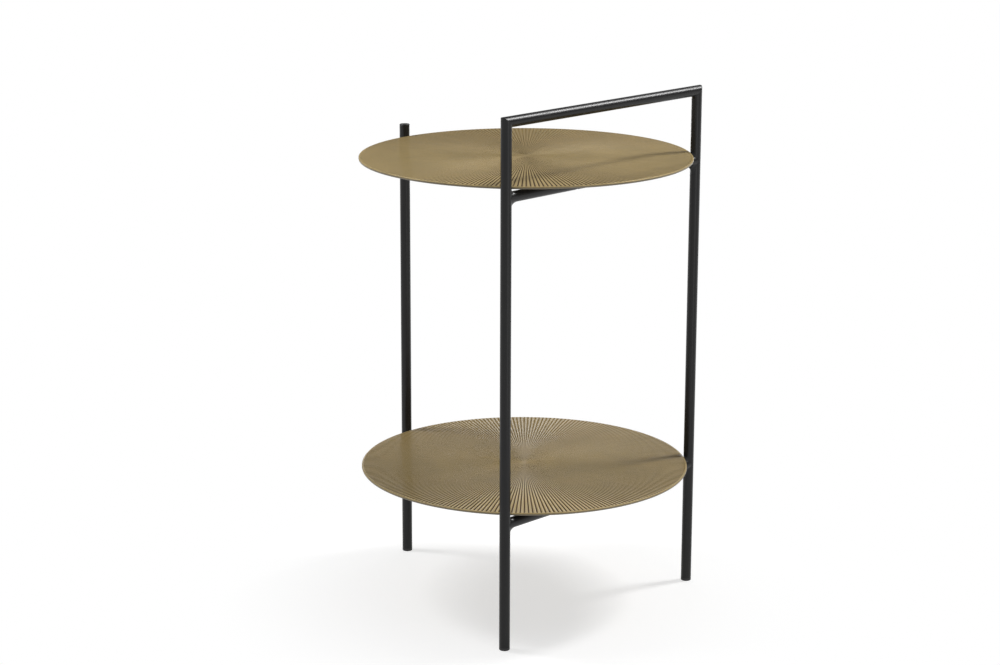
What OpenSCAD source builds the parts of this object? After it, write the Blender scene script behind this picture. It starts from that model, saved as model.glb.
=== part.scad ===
// Side table with two round trays on a frame of welded round tube.
// Three legs stand just outside the rims of the trays. A straight handle joins
// the tops of the two front legs, and the back leg ends just above the upper tray.
// Units are millimetres, +Z is up, and the floor is at z = 0.

/* [Trays] */
// Diameter of each round tray
tray_d = 400; // [320:5:500]
// Thickness of a tray
tray_t = 3; // [2.6:0.1:6]
// Radius that rounds a tray's rim, above and below
rim_r = 1; // [0.4:0.1:1.2]
// Height of the lower tray's top above the floor
lower_tray_z = 165; // [100:1:300]
// Diameter of the cast bosses under a tray
boss_d = 14; // [10:1:20]
// Height of the cast bosses under a tray
boss_h = 2; // [1:0.5:5]
// Depth of a boss's tapped hole within the tray itself
tap_depth = 1.8; // [1:0.1:2]

/* [Frame] */
// Height of the top of the handle above the floor
total_h = 628; // [520:1:800]
// Height of the handle's top above the upper tray
handle_rise = 80; // [50:1:140]
// Outside diameter of every tube
tube_d = 12.7; // [11.5:0.1:18]
// Wall of every tube
tube_wall = 1.5; // [1:0.1:1.6]
// Gap between a tray's rim and each leg
leg_gap = 1.6; // [1:0.1:6]
// Angle at the trays' centre between the front and each front leg
front_leg_angle = 53; // [40:1:62]
// Height of the back leg's top above the upper tray
back_leg_rise = 14; // [6:1:40]

/* [End cap of the back leg] */
// Thickness of the cap above the tube
cap_h = 2; // [1:0.5:4]
// Chamfer around the cap's top
cap_chamfer = 0.5; // [0.2:0.1:0.8]
// Length of the cap's spigot inside the tube
cap_spigot_l = 6; // [3:1:12]

/* [Foot glides] */
// Height of a glide's head below its leg
glide_h = 3.5; // [2:0.5:8]
// Radius that rounds a glide's lower edge
glide_r = 1.2; // [0.4:0.1:1.6]
// Length of a glide's spigot inside the leg
glide_spigot_l = 12; // [6:1:25]
// Radial clearance of a spigot in its tube
spigot_clear = 0.1; // [0.05:0.05:0.3]

/* [Welds] */
// Length of a weld's legs above a bar's end
weld_leg_above = 5; // [3:0.5:7]
// Length of a weld's legs below a bar's end
weld_leg_below = 11; // [3:0.5:14]
// Length of a weld's legs beside a stem bar's front end
weld_leg_beside = 6; // [3:0.5:7]
// Width of each of these welds across its tube
weld_w = 8; // [4:0.5:9]
// Length of a weld's legs inside a corner of the handle
corner_leg = 3; // [1.5:0.5:5]
// Width of a weld across a corner of the handle
corner_w = 7; // [4:0.5:9]
// Thickness of a weld's toe, where it runs out
weld_toe = 0.3; // [0.2:0.1:0.6]
// Gap between a tube's coped end and the tube that it meets
root_gap = 0.2; // [0.1:0.05:0.4]
// Least distance between a weld and a tray
weld_tray_gap = 0.3; // [0.2:0.1:0.8]

/* [Screws] */
// Diameter of a screw's shank
screw_d = 4; // [3:0.5:5]
// Diameter of a screw's button head
head_d = 7.6; // [6.6:0.1:7.6]
// Height of a screw's button head
head_h = 2.2; // [1.8:0.1:2.5]
// Diameter of a screw's head at its flat end
head_end_d = 4.8; // [4:0.1:5.5]
// Width across the flats of a screw's hexagon socket
socket_w = 2.5; // [2:0.5:3]
// Depth of a screw's hexagon socket
socket_depth = 1.3; // [0.8:0.1:1.4]
// Radial clearance of a screw in a tapped boss
tap_clear = 0.05; // [0.02:0.01:0.1]
// Radial clearance of a screw through a tube's wall
hole_clear = 0.25; // [0.1:0.05:0.5]
// Radial clearance of a screw's head in the access hole under it
access_clear = 0.3; // [0.2:0.1:0.4]
// Gap between a screw's head and the curved wall that it bears on
seat_clear = 0.05; // [0.02:0.01:0.1]
// Gap between a screw's tip and the end of its tapped hole
tip_gap = 0.4; // [0.2:0.1:0.8]
// Distance from the middle of a cross bar to each of its screws
cross_screw_x = 50; // [25:1:90]
// Distance from the trays' centre back to the screw in a stem bar
stem_screw_y = 110; // [20:1:130]

/* [Hidden] */
$fn = 96;

BLACK_PAINT = [0.09, 0.09, 0.095];
WELD_PAINT = [0.14, 0.14, 0.145];
BLACK_PLASTIC = [0.04, 0.04, 0.04];
AGED_BRASS = [0.58, 0.51, 0.37];
ZINC = [0.62, 0.63, 0.65];

tray_r = tray_d / 2;
tube_r = tube_d / 2;
bore_r = tube_r - tube_wall;
spigot_r = bore_r - spigot_clear;
head_r = head_d / 2;

// The three legs stand on one circle around the trays' centre.
leg_circle_r = tray_r + leg_gap + tube_r;
front_leg_x = leg_circle_r * sin(front_leg_angle);
front_leg_y = -leg_circle_r * cos(front_leg_angle);
back_leg_y = leg_circle_r;

// The table is shifted so that the origin lies below the middle of its box.
back_reach = back_leg_y + tube_r;
front_reach = max(tray_r, tube_r - front_leg_y);
centre_y = (front_reach - back_reach) / 2;

handle_z = total_h - tube_r;
upper_tray_z = total_h - handle_rise;
back_tube_top = upper_tray_z + back_leg_rise - cap_h;
tray_to_bar = tray_t + boss_h + tube_r;
upper_bar_z = upper_tray_z - tray_to_bar;
lower_bar_z = lower_tray_z - tray_to_bar;

// A screw's flat head bears on the inside of its round tube, below the bore's top.
head_seat = sqrt(bore_r * bore_r - head_r * head_r) - seat_clear;
screw_tip = tube_r + boss_h + tap_depth - tip_gap;

// Length by which a cutting shape reaches past what it cuts
past = 1;
// Size of the shapes that cut a tube's whole end
cut_size = 4 * tube_d;

// ---- Places ----

module at_table() translate([0, centre_y, 0]) children();

module at_left_leg() at_table() translate([-front_leg_x, front_leg_y, 0]) children();

// A right front leg is a left one mirrored, with the handle on its other side.
module at_right_leg() mirror([1, 0, 0]) at_left_leg() children();

module at_back_leg() at_table() translate([0, back_leg_y, 0]) children();

module at_screws() {
  for (side = [-1, 1]) translate([side * cross_screw_x, front_leg_y, 0]) children();
  translate([0, stem_screw_y, 0]) children();
}

// ---- Shared shapes ----

// Points on an arc around a centre, from one angle to another
function arc(centre, r, from, to, steps = 6) =
  [for (i = [0:steps]) let (a = from + (to - from) * i / steps) centre + r * [cos(a), sin(a)]];

// An outline that fills the corner between two tubes with a concave weld.
// The tubes' axes are the outline's own, and inner is where it starts from the first.
function weld_outline(leg, inner) =
  let (
    far = tube_r + leg,
    toe_angle = acos(1 - weld_toe / leg),
    top = far - leg * sin(toe_angle)
  )
  concat(
    [[inner, 0], [top, 0]],
    arc([far, far], leg, -90 - toe_angle, -180 + toe_angle),
    [[inner, top]]
  );

// A tube that stands on z = 0
module tube(length) {
  difference() {
    cylinder(r = tube_r, h = length);
    translate([0, 0, -past]) cylinder(r = bore_r, h = length + 2 * past);
  }
}

// A tube along +X from x = 0
module tube_along_x(length) rotate([0, 90, 0]) tube(length);

// Cuts a tube's end to fit around an upright tube
module upright_cope() translate([0, 0, -cut_size]) cylinder(r = tube_r + root_gap, h = 2 * cut_size);

// Everything on the +X side of the origin
module half_space() translate([0, -cut_size, -cut_size]) cube([2 * cut_size, 2 * cut_size, 2 * cut_size]);

// The screw's hole through a bar's top wall, and the access hole for its head below
module screw_holes() {
  cylinder(r = screw_d / 2 + hole_clear, h = tube_d);
  translate([0, 0, -tube_d]) cylinder(r = head_r + access_clear, h = tube_d);
}

// ---- Legs and handle ----

// The left front leg, mitred at its top to meet the handle
module front_leg() {
  color(BLACK_PAINT) difference() {
    translate([0, 0, glide_h]) tube(total_h - glide_h);
    translate([0, 0, handle_z]) rotate([0, -45, 0]) half_space();
  }
}

module leg_left() at_left_leg() front_leg();

module leg_right() at_right_leg() front_leg();

module leg_back() color(BLACK_PAINT) at_back_leg() translate([0, 0, glide_h]) tube(back_tube_top - glide_h);

module handle_bar() {
  half_l = front_leg_x + tube_r;
  color(BLACK_PAINT) at_table() translate([0, front_leg_y, handle_z]) difference() {
    translate([-half_l, 0, 0]) tube_along_x(2 * half_l);
    for (side = [0, 1]) mirror([side, 0, 0])
      translate([-front_leg_x, 0, 0]) rotate([0, 135, 0]) half_space();
  }
}

// ---- Bars under the trays ----

module cross_bar() {
  color(BLACK_PAINT) translate([0, front_leg_y, 0]) difference() {
    translate([-front_leg_x, 0, 0]) tube_along_x(2 * front_leg_x);
    for (side = [-1, 1]) translate([side * front_leg_x, 0, 0]) upright_cope();
    for (side = [-1, 1]) translate([side * cross_screw_x, 0, 0]) screw_holes();
  }
}

module stem_bar() {
  color(BLACK_PAINT) difference() {
    translate([0, front_leg_y, 0]) rotate([0, 0, 90]) tube_along_x(back_leg_y - front_leg_y);
    translate([0, back_leg_y, 0]) upright_cope();
    translate([0, front_leg_y, 0]) rotate([0, 90, 0]) upright_cope();
    translate([0, stem_screw_y, 0]) screw_holes();
  }
}

module upper_cross_bar() at_table() translate([0, 0, upper_bar_z]) cross_bar();

module lower_cross_bar() at_table() translate([0, 0, lower_bar_z]) cross_bar();

module upper_stem_bar() at_table() translate([0, 0, upper_bar_z]) stem_bar();

module lower_stem_bar() at_table() translate([0, 0, lower_bar_z]) stem_bar();

// ---- Trays ----

// Half of a tray's section, with the tray's top at z = 0
module tray_section() {
  side_r = tray_r - rim_r;
  polygon(concat(
    [[0, -tray_t]],
    arc([side_r, rim_r - tray_t], rim_r, -90, 0),
    arc([side_r, -rim_r], rim_r, 0, 90),
    [[0, 0]]
  ));
}

module tray() {
  boss_bottom = -tray_t - boss_h;
  color(AGED_BRASS) difference() {
    union() {
      rotate_extrude() tray_section();
      at_screws() translate([0, 0, boss_bottom]) cylinder(d = boss_d, h = boss_h);
    }
    at_screws() translate([0, 0, boss_bottom - past])
      cylinder(r = screw_d / 2 + tap_clear, h = past + boss_h + tap_depth);
  }
}

module upper_tray() at_table() translate([0, 0, upper_tray_z]) tray();

module lower_tray() at_table() translate([0, 0, lower_tray_z]) tray();

// ---- Screws ----

// A button-head screw that points up, with its tube's axis at z = 0
module screw() {
  head_end = head_seat - head_h;
  rim_h = head_h / 3;
  difference() {
    rotate_extrude() polygon([
      [0, head_end], [head_end_d / 2, head_end], [head_r, head_seat - rim_h], [head_r, head_seat],
      [screw_d / 2, head_seat], [screw_d / 2, screw_tip], [0, screw_tip]
    ]);
    translate([0, 0, head_end - past])
      cylinder(d = socket_w / cos(30), h = past + socket_depth, $fn = 6);
  }
}

module tray_screws(bar_z) color(ZINC) at_table() translate([0, 0, bar_z]) at_screws() screw();

module upper_tray_screws() tray_screws(upper_bar_z);

module lower_tray_screws() tray_screws(lower_bar_z);

// ---- Foot glides and end cap ----

module glide() {
  color(BLACK_PLASTIC) rotate_extrude() polygon(concat(
    [[0, 0]],
    arc([tube_r - glide_r, glide_r], glide_r, -90, 0),
    [[tube_r, glide_h], [spigot_r, glide_h]],
    [[spigot_r, glide_h + glide_spigot_l], [0, glide_h + glide_spigot_l]]
  ));
}

module glide_left() at_left_leg() glide();

module glide_right() at_right_leg() glide();

module glide_back() at_back_leg() glide();

module back_leg_cap() {
  color(BLACK_PAINT) at_back_leg() translate([0, 0, back_tube_top]) rotate_extrude() polygon([
    [0, -cap_spigot_l], [spigot_r, -cap_spigot_l], [spigot_r, 0], [tube_r, 0],
    [tube_r, cap_h - cap_chamfer], [tube_r - cap_chamfer, cap_h], [0, cap_h]
  ]);
}

// ---- Welds ----

// A concave fillet between an upright tube and the top of a tube that runs from it along +X
module tee_fillet(leg) {
  size = tube_r + leg;
  color(WELD_PAINT) difference() {
    intersection() {
      rotate([0, 90, 0]) rotate_extrude() polygon(weld_outline(leg, tube_r));
      translate([0, -weld_w / 2, 0]) cube([size, weld_w, size]);
    }
    translate([0, 0, -size]) cylinder(r = tube_r, h = 2 * size);
  }
}

// The fillets above and below that tube
module tee_weld(above, below) {
  tee_fillet(above);
  mirror([0, 0, 1]) tee_fillet(below);
}

// The room that a weld keeps free around a tray, with its bar's axis at z = 0
module tray_room() {
  translate([0, 0, tube_r + boss_h - weld_tray_gap])
    cylinder(r = tray_r + weld_tray_gap, h = tray_t + 2 * weld_tray_gap, $fn = 180);
}

// The welds at a left front leg, with the bar's axis at z = 0
module front_weld() {
  difference() {
    translate([-front_leg_x, front_leg_y, 0]) tee_weld(weld_leg_above, weld_leg_below);
    tray_room();
  }
}

module back_weld() {
  difference() {
    translate([0, back_leg_y, 0]) rotate([0, 0, -90]) tee_weld(weld_leg_above, weld_leg_below);
    tray_room();
  }
}

// The welds beside a stem bar's front end, with the cross bar as the through tube
module stem_weld() {
  translate([0, front_leg_y, 0]) rotate([90, 0, 90]) tee_weld(weld_leg_beside, weld_leg_beside);
}

module upper_weld_left() at_table() translate([0, 0, upper_bar_z]) front_weld();

module upper_weld_right() mirror([1, 0, 0]) upper_weld_left();

module upper_weld_back() at_table() translate([0, 0, upper_bar_z]) back_weld();

module upper_weld_tee() at_table() translate([0, 0, upper_bar_z]) stem_weld();

module lower_weld_left() at_table() translate([0, 0, lower_bar_z]) front_weld();

module lower_weld_right() mirror([1, 0, 0]) lower_weld_left();

module lower_weld_back() at_table() translate([0, 0, lower_bar_z]) back_weld();

module lower_weld_tee() at_table() translate([0, 0, lower_bar_z]) stem_weld();

// The concave weld inside the handle's left corner
module corner_weld() {
  size = tube_r + corner_leg;
  color(WELD_PAINT) difference() {
    translate([0, corner_w / 2, 0]) rotate([90, 0, 0]) linear_extrude(corner_w)
      mirror([0, 1, 0]) polygon(weld_outline(corner_leg, 0));
    translate([0, 0, -size]) cylinder(r = tube_r, h = 2 * size);
    rotate([0, 90, 0]) translate([0, 0, -size]) cylinder(r = tube_r, h = 2 * size);
  }
}

module handle_weld_left() at_left_leg() translate([0, 0, handle_z]) corner_weld();

module handle_weld_right() at_right_leg() translate([0, 0, handle_z]) corner_weld();

leg_left();
leg_right();
leg_back();
handle_bar();
upper_cross_bar();
upper_stem_bar();
lower_cross_bar();
lower_stem_bar();
upper_tray();
lower_tray();
upper_tray_screws();
lower_tray_screws();
glide_left();
glide_right();
glide_back();
back_leg_cap();
upper_weld_left();
upper_weld_right();
upper_weld_back();
upper_weld_tee();
lower_weld_left();
lower_weld_right();
lower_weld_back();
lower_weld_tee();
handle_weld_left();
handle_weld_right();
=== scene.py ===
"""The looks of a tiered side table: two ribbed brass trays on a black tube frame."""

import math

import bpy
import numpy as np
from mathutils import Matrix, Vector
from mathutils.geometry import delaunay_2d_cdt


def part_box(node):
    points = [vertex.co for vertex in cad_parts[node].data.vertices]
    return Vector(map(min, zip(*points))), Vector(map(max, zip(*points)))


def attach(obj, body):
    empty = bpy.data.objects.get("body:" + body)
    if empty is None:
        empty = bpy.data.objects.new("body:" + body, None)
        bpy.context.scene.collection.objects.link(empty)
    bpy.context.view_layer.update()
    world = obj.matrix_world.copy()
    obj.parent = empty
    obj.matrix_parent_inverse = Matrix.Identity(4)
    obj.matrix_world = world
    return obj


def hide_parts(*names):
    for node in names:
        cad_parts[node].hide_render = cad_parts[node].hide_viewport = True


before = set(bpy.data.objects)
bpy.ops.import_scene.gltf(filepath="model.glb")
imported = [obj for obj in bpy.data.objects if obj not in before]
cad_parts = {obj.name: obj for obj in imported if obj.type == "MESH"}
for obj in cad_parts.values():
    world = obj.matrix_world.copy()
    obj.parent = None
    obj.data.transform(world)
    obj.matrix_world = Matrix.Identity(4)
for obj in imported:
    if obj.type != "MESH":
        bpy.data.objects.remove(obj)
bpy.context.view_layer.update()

# ---- Sizes, in metres ----

BODY = "root"
TRAYS = ("upper_tray", "lower_tray")

# Trays, where the frame doesn't give the size by itself
TRAY_THICKNESS = 0.003
RIM_RADIUS = 0.001
BOSS_RADIUS = 0.007
BOSS_STEPS = 32
TAPPED_RADIUS = 0.00205
TAPPED_DEPTH = 0.0018
CROSS_SCREW_X = 0.05
STEM_SCREW_Y = 0.11
# The dressed trays stay this much inside the plain ones
TRAY_INSET = 0.00005

# Radial ribs in a tray's top
RIB_COUNT = 250
GROOVE_DEPTH = 0.0009
# A groove's depth never exceeds this share of its distance from the hub
GROOVE_DEPTH_SHARE = 0.009
# Half of a groove's width, and places across one rib from groove to groove, as shares of the pitch
GROOVE_HALF = 0.27
RIB_STEPS = (0, 0.06, 0.12, 0.18, 0.24, 0.3, 0.5, 0.7, 0.76, 0.82, 0.88, 0.94)
HUB_RADIUS = 0.003
# Radii of the mesh's rings inside and outside the one where the grooves reach their full depth
INNER_RINGS = (0.008, 0.02, 0.045, 0.075)
OUTER_RINGS = (0.13, 0.16)
PLAIN_RIM = 0.0018
# Each groove runs out over this length. Where the next share of the length is left, the
# groove still has the last share of its depth.
GROOVE_RUN_OUT = 0.0012
RUN_OUT_LEFT = 0.4
RUN_OUT_DEPTH = 0.7
EDGE_STEPS = 6
# How a groove's patina follows its depth: full from a fourth of the full depth on
PATINA_GAIN = 4
PATINA_POWER = 0.5
# The rim's painted shade starts this far below the tray's top, as a share of the rim's radius
RIM_START = 0.5

# Welds
TOP_WELD_LEG = 0.005
BOTTOM_WELD_LEG = 0.011
SIDE_WELD_LEG = 0.006
CORNER_WELD_LEG = 0.003
WELD_SINK = 0.00004
WELD_TURN_STEPS = 36
WELD_ARC_STEPS = 10
# A bead's unevenness, as a share of its leg, and the paces at which it comes and goes
WELD_RIPPLE = 0.05
RIPPLE_PACE = 9
RIPPLE_BEAT = 4
# The least angle that a bead's arc spans
LEAST_ANGLE = 1e-4


def node_centre(node):
    """The middle of a CAD node's box."""
    low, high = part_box(node)
    return (low + high) / 2


def node_height(node):
    """The height of a CAD node's box."""
    low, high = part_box(node)
    return high.z - low.z


upper_bar = node_centre("upper_cross_bar")
lower_bar = node_centre("lower_cross_bar")
TUBE_RADIUS = node_height("upper_cross_bar") / 2
TRAY_CENTRE = node_centre("upper_tray").xy
TRAY_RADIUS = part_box("upper_tray")[1].x - TRAY_INSET


# ---- Meshes ----

def new_piece(name, points, faces):
    """A new smooth mesh object in the row frame, from points and faces."""
    mesh = bpy.data.meshes.new(name)
    mesh.from_pydata([tuple(p) for p in points], [], faces)
    mesh.polygons.foreach_set("use_smooth", [True] * len(mesh.polygons))
    mesh.update()
    piece = bpy.data.objects.new(name, mesh)
    bpy.context.scene.collection.objects.link(piece)
    return piece


def row_faces(rows, columns, first=0):
    """Quads between closed rows of points that follow one another."""
    faces = []
    for row in range(rows - 1):
        a = first + row * columns
        for i in range(columns):
            j = (i + 1) % columns
            faces.append((a + i, a + j, a + columns + j, a + columns + i))
    return faces


def circle(centre, radius, z, count):
    """Points round a level circle, anticlockwise from +X."""
    turns = np.arange(count) * 2 * math.pi / count
    return [(centre[0] + radius * math.cos(a), centre[1] + radius * math.sin(a), z) for a in turns]


# ---- Trays ----

def rib_columns():
    """For each column of a tray's mesh, its angle and how deep its groove is, from 0 to 1."""
    pitch = 2 * math.pi / RIB_COUNT
    angles = [(rib + step) * pitch for rib in range(RIB_COUNT) for step in RIB_STEPS]
    depths = [max(1 - min(step, 1 - step) / GROOVE_HALF, 0) for step in RIB_STEPS] * RIB_COUNT
    return np.array(angles), np.array(depths)


def groove_depth(radius):
    """How deep the grooves are at a distance from the tray's centre, before they run out."""
    return min(GROOVE_DEPTH, GROOVE_DEPTH_SHARE * (radius - HUB_RADIUS))


def tray_rings(top):
    """The tray's section from its hub over the rim to its underside: radius, height and groove."""
    groove_end = TRAY_RADIUS - PLAIN_RIM
    full_depth_from = GROOVE_DEPTH / GROOVE_DEPTH_SHARE + HUB_RADIUS
    run_out_from = groove_end - GROOVE_RUN_OUT
    radii = (HUB_RADIUS, *INNER_RINGS, full_depth_from, *OUTER_RINGS, run_out_from)
    rings = [(r, top, groove_depth(r)) for r in radii]
    rings.append((groove_end - GROOVE_RUN_OUT * RUN_OUT_LEFT, top, GROOVE_DEPTH * RUN_OUT_DEPTH))
    rings.append((groove_end, top, 0))
    edge_centre = TRAY_RADIUS - RIM_RADIUS
    for centre_z, start in ((top - RIM_RADIUS, 90), (top - TRAY_THICKNESS + RIM_RADIUS, 0)):
        for step in range(EDGE_STEPS + 1):
            a = math.radians(start - 90 * step / EDGE_STEPS)
            radius = edge_centre + RIM_RADIUS * math.cos(a)
            rings.append((radius, centre_z + RIM_RADIUS * math.sin(a), 0))
    return rings


def screw_places():
    """Where a tray's bosses stand, seen from above."""
    cross_y = upper_bar.y
    return [
        Vector((-CROSS_SCREW_X, cross_y)),
        Vector((CROSS_SCREW_X, cross_y)),
        Vector((0, TRAY_CENTRE.y + STEM_SCREW_Y)),
    ]


def add_underside(points, faces, outer):
    """Closes a tray's underside, with its cast bosses and their tapped holes."""
    count = BOSS_STEPS
    places = screw_places()
    floor_z = points[outer[0]][2]
    boss_z = floor_z + TRAY_THICKNESS - node_height("upper_tray")

    # The flat face, as triangles that keep the bosses' circles as edges
    flat = [Vector(points[i][:2]) for i in outer]
    edges = [(i, (i + 1) % len(outer)) for i in range(len(outer))]
    index = list(outer)
    for place in places:
        first = len(flat)
        index += range(len(points), len(points) + count)
        ring = circle(place, BOSS_RADIUS, floor_z, count)
        points += ring
        flat += [Vector(p[:2]) for p in ring]
        edges += [(first + i, first + (i + 1) % count) for i in range(count)]
    whole_hull, merge_distance = 0, 1e-7
    cut = delaunay_2d_cdt(flat, edges, [], whole_hull, merge_distance)
    made, _, triangles, source, _, _ = cut
    inside_boss = BOSS_RADIUS * 0.999
    for triangle in triangles:
        middle = sum((made[i] for i in triangle), Vector((0, 0))) / 3
        if min((middle - place).length for place in places) > inside_boss:
            faces.append(tuple(index[source[i][0]] for i in reversed(triangle)))

    # Each boss's wall and end, and the wall and bottom of its hole
    for number, place in enumerate(places):
        wall = index[len(outer) + number * count]
        first = len(points)
        points += circle(place, BOSS_RADIUS, boss_z, count)
        points += circle(place, TAPPED_RADIUS, boss_z, count)
        points += circle(place, TAPPED_RADIUS, floor_z + TAPPED_DEPTH, count)
        for i in range(count):
            j = (i + 1) % count
            faces.append((wall + i, wall + j, first + j, first + i))
        faces += row_faces(3, count, first)
        faces.append(tuple(first + 2 * count + i for i in range(count)))


def tray(node):
    """A tray with radial ribs that stands for its plain CAD solid."""
    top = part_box(node)[1].z
    angles, depths = rib_columns()
    columns = len(angles)
    cosines, sines = np.cos(angles), np.sin(angles)
    rings = tray_rings(top)
    points, grooves, rim = [], [], []
    for radius, height, groove in rings:
        x = TRAY_CENTRE.x + radius * cosines
        y = TRAY_CENTRE.y + radius * sines
        z = height - groove * depths
        points += list(zip(x, y, z))
        patina = min(1, PATINA_GAIN * groove / GROOVE_DEPTH) ** PATINA_POWER
        grooves += list(depths * patina)
        rim += [min(max((top - height) / RIM_RADIUS - RIM_START, 0), 1)] * columns
    faces = [tuple(reversed(face)) for face in row_faces(len(rings), columns)]
    hub = len(points)
    points.append((TRAY_CENTRE.x, TRAY_CENTRE.y, top))
    faces += [(hub, i, (i + 1) % columns) for i in range(columns)]
    flat_from = len(faces)
    last_ring = (len(rings) - 1) * columns
    add_underside(points, faces, range(last_ring, last_ring + columns))
    piece = new_piece(node + "_ribbed", points, faces)
    for polygon in piece.data.polygons[flat_from:]:
        polygon.use_smooth = False
    for name, values in (("groove", grooves), ("rim", rim)):
        layer = piece.data.attributes.new(name, "FLOAT", "POINT")
        values = values + [0.0] * (len(points) - len(values))
        layer.data.foreach_set("value", values)
    return piece


# ---- Welds ----

def fillet(points, faces, leg, side):
    """A concave weld between an upright tube and one along +X, above (1) or below it (-1).

    Its face is the track of a ball that rolls round the joint and touches both tubes.
    """
    size = WELD_ARC_STEPS + 2
    first = len(points)
    inner = TUBE_RADIUS - WELD_SINK
    deep = inner - WELD_SINK
    for turn in range(WELD_TURN_STEPS + 1):
        share = (turn + 0.5) / (WELD_TURN_STEPS + 1)
        psi = math.pi * (share - 0.5)
        wave = WELD_RIPPLE * math.sin(RIPPLE_PACE * psi + side) * math.cos(RIPPLE_BEAT * psi)
        ball = leg * math.cos(psi) * (1 + wave)
        reach = (TUBE_RADIUS + ball) * math.cos(psi)
        centre = Vector((reach, (TUBE_RADIUS + ball) * math.sin(psi), reach))
        on_branch = Vector((reach, inner * math.sin(psi), inner * math.cos(psi)))
        on_upright = Vector((inner * math.cos(psi), inner * math.sin(psi), reach))
        start, end = on_branch - centre, on_upright - centre
        angle = max(start.angle(end), LEAST_ANGLE)
        for step in range(WELD_ARC_STEPS + 1):
            t = step / WELD_ARC_STEPS
            arm = start * math.sin((1 - t) * angle) + end * math.sin(t * angle)
            points.append(centre + arm / math.sin(angle))
        points.append(Vector((deep * math.cos(psi), deep * math.sin(psi), deep * math.cos(psi))))
    strip = []
    for turn in range(WELD_TURN_STEPS):
        a = first + turn * size
        for step in range(size):
            after = (step + 1) % size
            strip.append((a + step, a + after, a + size + after, a + size + step))
    last = first + WELD_TURN_STEPS * size
    strip.append(tuple(first + i for i in reversed(range(size))))
    strip.append(tuple(last + i for i in range(size)))
    if side < 0:
        for point in points[first:]:
            point.z = -point.z
        strip = [tuple(reversed(face)) for face in strip]
    faces += strip


def weld(node, place, turn, legs):
    """A weld piece that stands for a CAD weld. Each side has its own leg length."""
    points, faces = [], []
    for side, leg in legs:
        fillet(points, faces, leg, side)
    there = Matrix.Translation(place) @ turn
    piece = new_piece(node + "_bead", [there @ p for p in points], faces)
    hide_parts(node)
    return piece


def welds():
    """Every weld, each at the middle of the joint between its two tubes."""
    along_x = Matrix.Identity(4)
    along_minus_x = Matrix.Rotation(math.pi, 4, "Z")
    along_minus_y = Matrix.Rotation(-math.pi / 2, 4, "Z")
    # The stem bar runs along +Y from the cross bar, which takes the upright's part
    stem = Matrix(((0, 0, 1), (1, 0, 0), (0, 1, 0))).to_4x4()
    both = ((1, TOP_WELD_LEG), (-1, BOTTOM_WELD_LEG))
    even = ((1, SIDE_WELD_LEG), (-1, SIDE_WELD_LEG))
    made = []
    for level, bar in (("upper", upper_bar), ("lower", lower_bar)):
        for leg, turn in (("left", along_x), ("right", along_minus_x), ("back", along_minus_y)):
            place = node_centre("leg_" + leg)
            place.z = bar.z
            made.append(weld(f"{level}_weld_{leg}", place, turn, both))
        made.append(weld(f"{level}_weld_tee", Vector((0, bar.y, bar.z)), stem, even))
    for leg, turn in (("left", along_x), ("right", along_minus_x)):
        place = node_centre("leg_" + leg)
        place.z = node_centre("handle_bar").z
        made.append(weld("handle_weld_" + leg, place, turn, ((-1, CORNER_WELD_LEG),)))
    return made


# ---- Shader nodes ----

def add_node(tree, kind, inputs=None, **settings):
    """A new node. Each input is a plain value, or another node's output to link."""
    node = tree.nodes.new(kind)
    for name, value in settings.items():
        setattr(node, name, value)
    for key, value in (inputs or {}).items():
        if isinstance(value, bpy.types.NodeSocket):
            tree.links.new(value, node.inputs[key])
        else:
            node.inputs[key].default_value = value
    return node


def calculate(tree, operation, a, b):
    """The output of a math node."""
    return add_node(tree, "ShaderNodeMath", {0: a, 1: b}, operation=operation).outputs[0]


def add(tree, a, b):
    """The sum of two values."""
    return calculate(tree, "ADD", a, b)


def subtract(tree, a, b):
    """The first value less the second."""
    return calculate(tree, "SUBTRACT", a, b)


def multiply(tree, a, b):
    """The product of two values."""
    return calculate(tree, "MULTIPLY", a, b)


def vector_math(tree, operation, a, b=(0, 0, 0), output="Vector"):
    """What a vector math node gives: its Vector, or its Value."""
    node = add_node(tree, "ShaderNodeVectorMath", {0: a, 1: b}, operation=operation)
    return node.outputs[output]


def vector_length(tree, vector):
    """The length of a vector."""
    return vector_math(tree, "LENGTH", vector, output="Value")


def dot_product(tree, a, b):
    """How far one vector reaches along the other."""
    return vector_math(tree, "DOT_PRODUCT", a, b, output="Value")


def attribute(tree, name):
    """A number that the mesh keeps at each of its points."""
    return add_node(tree, "ShaderNodeAttribute", attribute_name=name).outputs["Fac"]


def object_place(tree):
    """The place on the object, in metres."""
    return add_node(tree, "ShaderNodeTexCoord").outputs["Object"]


def noise(tree, vector, scale, detail, roughness):
    """The factor of a noise texture."""
    inputs = {"Vector": vector, "Scale": scale, "Detail": detail, "Roughness": roughness}
    return add_node(tree, "ShaderNodeTexNoise", inputs).outputs["Fac"]


def remap(tree, value, source, target, smooth=False):
    """A value moved from one range to another, and kept inside it."""
    inputs = {"Value": value}
    inputs["From Min"], inputs["From Max"] = source
    inputs["To Min"], inputs["To Max"] = target
    kind = "SMOOTHSTEP" if smooth else "LINEAR"
    return add_node(tree, "ShaderNodeMapRange", inputs, interpolation_type=kind).outputs["Result"]


def blend(tree, factor, a, b, blend_type="MIX"):
    """Two colours mixed by a factor."""
    node = add_node(tree, "ShaderNodeMix", data_type="RGBA", blend_type=blend_type)
    for key, value in (("Factor_Float", factor), ("A_Color", a), ("B_Color", b)):
        socket = next(s for s in node.inputs if s.identifier == key)
        if isinstance(value, bpy.types.NodeSocket):
            tree.links.new(value, socket)
        else:
            socket.default_value = value
    return next(s for s in node.outputs if s.identifier == "Result_Color")


def bump(tree, height, distance, strength):
    """The normal of a surface with a fine relief."""
    inputs = {"Height": height, "Distance": distance, "Strength": strength}
    return add_node(tree, "ShaderNodeBump", inputs).outputs["Normal"]


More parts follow.
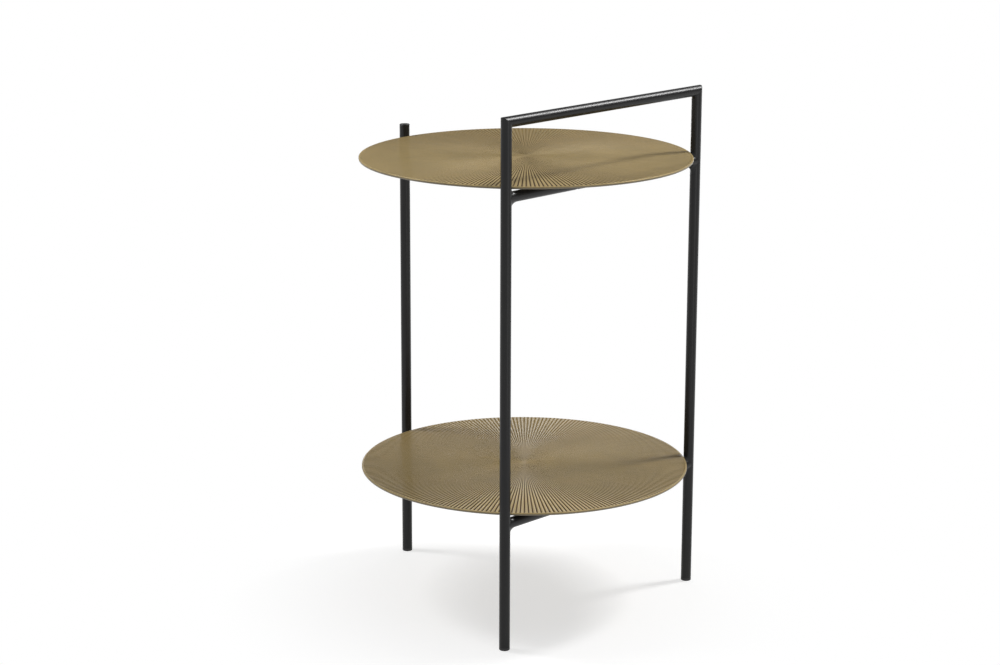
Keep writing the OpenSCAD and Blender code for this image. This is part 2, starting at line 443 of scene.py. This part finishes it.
def new_material(name):
    """A material with only a Principled shader, its tree and the shader."""
    material = bpy.data.materials.new(name)
    material.use_nodes = True
    tree = material.node_tree
    return material, tree, tree.nodes["Principled BSDF"]


def connect(tree, shader, **inputs):
    """Links outputs to a shader's inputs, whose names have _ for each space."""
    for name, output in inputs.items():
        tree.links.new(output, shader.inputs[name.replace("_", " ")])


# ---- Materials ----

UNIT = (0, 1)
# The range that holds most of a noise texture's values, and the one round its middle
NOISE_MOST = (0.3, 0.7)
NOISE_MIDDLE = (0.35, 0.65)

# The brass's colours
CREST_DULL = (0.312, 0.230, 0.091, 1)
CREST_BRIGHT = (0.364, 0.267, 0.109, 1)
PATINA_COLOUR = (0.066, 0.036, 0.008, 1)
# Painted shade: the rim's edge below its top, darker and greyer, where it faces down and away from
# the lamps
RIM_SHADE_COLOUR = (0.25, 0.215, 0.155, 1)
# How fine the brass's polish is round the tray, and along a spoke
BRUSH_ROUND = 60
BRUSH_ALONG = 9.0
# What the polish, the mottle and the distance from the centre do to its tone, and the painted light
# that makes it brighter towards the camera and duller on the far side
STREAK_TONE = (0.92, 1.04)
MOTTLE_TONE = (-0.05, 0.05)
POLISH_RADII, POLISH_TONE = (0.05, 0.19), (1, 1.16)
PAINTED_LIGHT_REACH, PAINTED_LIGHT_TONE = (-0.16, 0.16), (1.09, 0.96)
# Level direction from the centre to the far side from the camera, towards which the tone is painted
# duller and the patina painted thinner
PAINTED_LIGHT_SIDE = (0.72, 0.69, 0)
# The patina in the grooves, how much of it is kept as it is painted thinner towards the far side,
# what is painted onto the crests there, and the stain at the hub
PATINA_GROOVE = (0.08, 0.46)
KEPT_REACH, KEPT_SHARE = (-0.04, 0.16), (1, 0.2)
SPREAD_SHARE = 0.4
HUB_STAIN_RADII, HUB_STAIN = (0.005, 0.035), (0.22, 0)
# The brass's roughness, and how the patina, the mottle and the rim change it
BRASS_ROUGHNESS = (0.52, 0.6)
PATINA_ROUGHNESS = 0.3
MOTTLE_ROUGHNESS = (-0.04, 0.04)
RIM_SMOOTHNESS = 0.12
# The mottle's share in the brass's relief
MOTTLE_GRAIN = 0.5
# The lacquer that is left in the grooves and on the crests, and towards the hub
COAT_GROOVE, COAT_WEIGHT = (0, 0.15), (0.22, 0)
COAT_RADII, COAT_SHARE = (0.01, 0.07), (0.3, 1)


def brass():
    """Aged brass: dark patina in the grooves, paler crests, a fine radial polish, painted light
    that is brighter towards the camera and duller on the far side, and a rim painted darker below
    its top as shade.
    """
    material, tree, shader = new_material("aged_brass")
    place = object_place(tree)
    groove = attribute(tree, "groove")
    rim = attribute(tree, "rim")
    flat = vector_math(tree, "SUBTRACT", place, (*TRAY_CENTRE, 0))
    flat = vector_math(tree, "MULTIPLY", flat, (1, 1, 0))
    radius = vector_length(tree, flat)
    along_painted_light_side = dot_product(tree, flat, PAINTED_LIGHT_SIDE)

    # The polish runs along the ribs: noise drawn out along each spoke
    spoke = vector_math(tree, "NORMALIZE", flat)
    spoke = vector_math(tree, "MULTIPLY", spoke, (BRUSH_ROUND,) * 3)
    along = add_node(tree, "ShaderNodeCombineXYZ", {"Z": multiply(tree, radius, BRUSH_ALONG)})
    brushed = vector_math(tree, "ADD", spoke, along.outputs[0])
    brush = noise(tree, brushed, scale=1.0, detail=4, roughness=0.6)
    clouds = noise(tree, place, scale=14.0, detail=5, roughness=0.6)
    mottle = noise(tree, place, scale=260.0, detail=3, roughness=0.6)

    # The casting is polished brighter towards its rim. Its tone is painted lighter towards the
    # camera and duller on the far side, as the light falls there.
    crest = blend(tree, remap(tree, clouds, NOISE_MIDDLE, UNIT), CREST_DULL, CREST_BRIGHT)
    tone = remap(tree, brush, NOISE_MOST, STREAK_TONE)
    tone = add(tree, tone, remap(tree, mottle, NOISE_MOST, MOTTLE_TONE))
    tone = multiply(tree, tone, remap(tree, radius, POLISH_RADII, POLISH_TONE))
    tone = multiply(tree, tone, remap(tree, along_painted_light_side, PAINTED_LIGHT_REACH, PAINTED_LIGHT_TONE))
    tone = add_node(tree, "ShaderNodeCombineColor", {0: tone, 1: tone, 2: tone}).outputs[0]
    crest = blend(tree, 1.0, crest, tone, "MULTIPLY")

    # The patina is painted thinner towards the far side, and some of it onto the crests there,
    # flattening the ribs as the sheen there does
    kept = remap(tree, along_painted_light_side, KEPT_REACH, KEPT_SHARE, smooth=True)
    patina = remap(tree, groove, PATINA_GROOVE, UNIT, smooth=True)
    spread = multiply(tree, subtract(tree, 1.0, kept), SPREAD_SHARE)
    stain = add(tree, multiply(tree, patina, kept), spread)
    stain = add(tree, stain, remap(tree, radius, HUB_STAIN_RADII, HUB_STAIN))
    colour = blend(tree, stain, crest, PATINA_COLOUR)
    # The rim's edge below its top is painted darker and greyer as shade
    colour = blend(tree, rim, colour, RIM_SHADE_COLOUR)

    rough = remap(tree, clouds, NOISE_MOST, BRASS_ROUGHNESS)
    rough = add(tree, rough, multiply(tree, patina, PATINA_ROUGHNESS))
    rough = add(tree, rough, remap(tree, mottle, NOISE_MOST, MOTTLE_ROUGHNESS))
    rough = subtract(tree, rough, multiply(tree, rim, RIM_SMOOTHNESS))
    grain = add(tree, brush, multiply(tree, mottle, MOTTLE_GRAIN))
    normal = bump(tree, grain, distance=0.00004, strength=0.6)
    # Only the crests keep their lacquer's shine, and less of it near the hub
    coat = remap(tree, groove, COAT_GROOVE, COAT_WEIGHT)
    coat = multiply(tree, coat, remap(tree, radius, COAT_RADII, COAT_SHARE))
    connect(tree, shader, Base_Color=colour, Roughness=rough, Normal=normal, Coat_Weight=coat)
    shader.inputs["Metallic"].default_value = 0.2
    shader.inputs["Specular IOR Level"].default_value = 0.3
    shader.inputs["Coat Roughness"].default_value = 0.08
    return material


def black_paint():
    """Satin black powder coat, with a faint orange peel and a little unevenness in its tone."""
    material, tree, shader = new_material("black_powder_coat")
    place = object_place(tree)
    peel = noise(tree, place, scale=900.0, detail=2, roughness=0.5)
    tone = noise(tree, place, scale=35.0, detail=4, roughness=0.6)
    cool, warm = (0.0085, 0.0085, 0.0095, 1), (0.0125, 0.0122, 0.0122, 1)
    colour = blend(tree, remap(tree, tone, NOISE_MIDDLE, UNIT), cool, warm)
    rough = remap(tree, tone, NOISE_MOST, (0.3, 0.34))
    normal = bump(tree, peel, distance=0.00002, strength=0.2)
    connect(tree, shader, Base_Color=colour, Roughness=rough, Normal=normal)
    shader.inputs["Specular IOR Level"].default_value = 0.3
    return material


def black_plastic():
    """Moulded nylon of the foot glides, with a fine spark-eroded grain."""
    material, tree, shader = new_material("black_nylon")
    place = object_place(tree)
    grain = noise(tree, place, scale=3200.0, detail=3, roughness=0.6)
    tone = noise(tree, place, scale=180.0, detail=3, roughness=0.5)
    dark, pale = (0.012, 0.012, 0.012, 1), (0.02, 0.0195, 0.019, 1)
    colour = blend(tree, tone, dark, pale)
    rough = remap(tree, grain, NOISE_MOST, (0.5, 0.62))
    normal = bump(tree, grain, distance=0.00003, strength=0.6)
    connect(tree, shader, Base_Color=colour, Roughness=rough, Normal=normal)
    return material


def zinc():
    """Bright zinc plate on the screws, slightly cloudy."""
    material, tree, shader = new_material("zinc_plate")
    cloud = noise(tree, object_place(tree), scale=420.0, detail=4, roughness=0.6)
    dull, bright = (0.50, 0.52, 0.55, 1), (0.68, 0.69, 0.70, 1)
    colour = blend(tree, cloud, dull, bright)
    rough = remap(tree, cloud, NOISE_MOST, (0.26, 0.4))
    normal = bump(tree, cloud, distance=0.00002, strength=0.4)
    connect(tree, shader, Base_Color=colour, Roughness=rough, Normal=normal)
    shader.inputs["Metallic"].default_value = 1.0
    return material


# ---- Stage ----

# How far the floor shows its real shading, and where it has faded to plain white
FLOOR_FADE = (0.12, 0.40)
FLOOR_HALF = 40.0
FLOOR_ALBEDO = 0.57
# What is added to the floor's shading where it is seen, so that it reads as nearly white
FLOOR_LIFT = 0.60
# The world's soft light on matt surfaces
AMBIENT = 0.16
# What shiny surfaces see of the studio: white up to just over the horizon, then dim walls
WALL_HEIGHT = (0.02, 0.13)
STUDIO_TOP = 0.22
# The wall on this side stays pale. It turns from dim to pale as directions come to face it.
FRONT_SIDE = (-0.72, -0.69, 0)
FRONT_REACH = (0.1, 0.5)
FRONT_WALL = 0.95


def floor():
    """A pale floor that keeps the table's soft shadow and is plain white further out."""
    h = FLOOR_HALF
    plane = new_piece("floor", [(-h, -h, 0), (h, -h, 0), (h, h, 0), (-h, h, 0)], [(0, 1, 2, 3)])
    material = bpy.data.materials.new("pale_floor")
    material.use_nodes = True
    tree = material.node_tree
    tree.nodes.clear()
    # 1 for camera, glossy and transmission rays, else 0
    path = add_node(tree, "ShaderNodeLightPath").outputs
    seen = calculate(tree, "MAXIMUM", path["Is Camera Ray"], path["Is Glossy Ray"])
    seen = calculate(tree, "MAXIMUM", seen, path["Is Transmission Ray"])
    grey = (FLOOR_ALBEDO,) * 3 + (1,)
    diffuse = add_node(tree, "ShaderNodeBsdfDiffuse", {"Color": grey}).outputs[0]
    lift = multiply(tree, seen, FLOOR_LIFT)
    lift = add_node(tree, "ShaderNodeEmission", {"Strength": lift}).outputs[0]
    shaded = add_node(tree, "ShaderNodeAddShader", {0: diffuse, 1: lift}).outputs[0]
    white = add_node(tree, "ShaderNodeEmission", {"Strength": 1.0}).outputs[0]
    far = vector_length(tree, object_place(tree))
    fade = multiply(tree, remap(tree, far, FLOOR_FADE, UNIT, smooth=True), seen)
    mix = add_node(tree, "ShaderNodeMixShader", {0: fade, 1: shaded, 2: white}).outputs[0]
    add_node(tree, "ShaderNodeOutputMaterial", {"Surface": mix})
    plane.data.materials.append(material)


def backdrop():
    """The world: white to the camera, white with dim walls to shiny surfaces, else soft light."""
    world = bpy.data.worlds.new("studio")
    bpy.context.scene.world = world
    world.use_nodes = True
    tree = world.node_tree
    shown = tree.nodes["Background"]
    shown.inputs["Color"].default_value = (1, 1, 1, 1)
    path = add_node(tree, "ShaderNodeLightPath").outputs
    towards = add_node(tree, "ShaderNodeTexCoord").outputs["Generated"]
    height = add_node(tree, "ShaderNodeSeparateXYZ", {0: towards}).outputs["Z"]
    facing = dot_product(tree, towards, FRONT_SIDE)
    top = remap(tree, facing, FRONT_REACH, (STUDIO_TOP, FRONT_WALL), smooth=True)
    walls = remap(tree, height, WALL_HEIGHT, (1.0, top), smooth=True)
    shiny = calculate(tree, "MAXIMUM", path["Is Glossy Ray"], path["Is Transmission Ray"])
    strength = multiply(tree, shiny, subtract(tree, walls, AMBIENT))
    strength = add(tree, strength, AMBIENT)
    strength = add(tree, strength, multiply(tree, path["Is Camera Ray"], 1.0 - AMBIENT))
    tree.links.new(strength, shown.inputs["Strength"])


def softbox(name, place, target, along, length, width, radiance):
    """An area light that faces its target, unseen by the camera. Its length runs along a vector."""
    data = bpy.data.lights.new(name, "AREA")
    data.shape = "RECTANGLE"
    data.size, data.size_y = length, width
    data.energy = radiance * math.pi * length * width
    lamp = bpy.data.objects.new(name, data)
    z_axis = (place - target).normalized()
    x_axis = (along - z_axis * along.dot(z_axis)).normalized()
    turn = Matrix((x_axis, z_axis.cross(x_axis), z_axis)).transposed().to_4x4()
    lamp.matrix_world = Matrix.Translation(place) @ turn
    lamp.visible_camera = False
    bpy.context.scene.collection.objects.link(lamp)
    return lamp


def lights():
    """Softboxes to the right and left of the camera's view, and pale cards behind and in front."""
    # Place, target and the direction of the length
    middle = Vector((0, 0, 0.4))
    right = Vector((1.25, -0.58, 1.95)), middle, Vector((0.75, 0, -0.67))
    left = Vector((-0.74, 1.20, 2.0)), middle, Vector((0.03, 0.74, -0.67))
    back = Vector((0.74, 0.59, 0.42)), Vector((0, 0, 0.42)), Vector((0.69, -0.72, 0))
    front = Vector((-0.22, -1.24, 0.45)), Vector((0, 0, 0.45)), Vector((0, 0, 1))
    softbox("right_softbox", *right, length=0.9, width=0.3, radiance=32.8)
    softbox("left_softbox", *left, length=1.0, width=0.42, radiance=16.0)
    # A dim scrim round each softbox shows only as a wider shine
    for name, aim, radiance in (("right_scrim", right, 6.0), ("left_scrim", left, 5.0)):
        scrim = softbox(name, *aim, length=1.0, width=0.9, radiance=radiance)
        scrim.visible_diffuse = False
    softbox("back_card", *back, length=0.8, width=0.18, radiance=3.0)
    softbox("front_card", *front, length=0.9, width=0.36, radiance=1.3)


def camera():
    """The photograph's view."""
    # In pixels
    picture_width, focal_length = 1000, 2452
    place = Vector((-2.1135, -1.9816, 1.0619))
    yaw, tilt, roll = (math.radians(a) for a in (-46.346, 75.7925, 0.1745))
    data = bpy.data.cameras.new("camera")
    data.sensor_width = 36
    data.lens = data.sensor_width * focal_length / picture_width
    data.clip_end = 200
    seen_from = bpy.data.objects.new("camera", data)
    turn = Matrix.Rotation(yaw, 4, "Z") @ Matrix.Rotation(tilt, 4, "X")
    turn = turn @ Matrix.Rotation(roll, 4, "Z")
    seen_from.matrix_world = Matrix.Translation(place) @ turn
    bpy.context.scene.collection.objects.link(seen_from)
    bpy.context.scene.camera = seen_from


# ---- The scene ----

camera()
floor()
backdrop()
lights()
bpy.context.scene.view_settings.view_transform = "Standard"

finishes = {
    "frame_paint": black_paint(),
    "tray_brass": brass(),
    "glide_plastic": black_plastic(),
    "screw_steel": zinc(),
}

for node in TRAYS:
    piece = tray(node)
    piece.data.materials.append(finishes["tray_brass"])
    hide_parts(node)
    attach(piece, BODY)

for piece in welds():
    piece.data.materials.append(finishes["frame_paint"])
    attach(piece, BODY)

# The finishes of the CAD parts' own meshes
for node, cad_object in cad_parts.items():
    if node.startswith("glide"):
        finish = "glide_plastic"
    elif node.endswith("screws"):
        finish = "screw_steel"
    else:
        finish = "frame_paint"
    for material_slot in cad_object.material_slots:
        material_slot.material = finishes[finish]
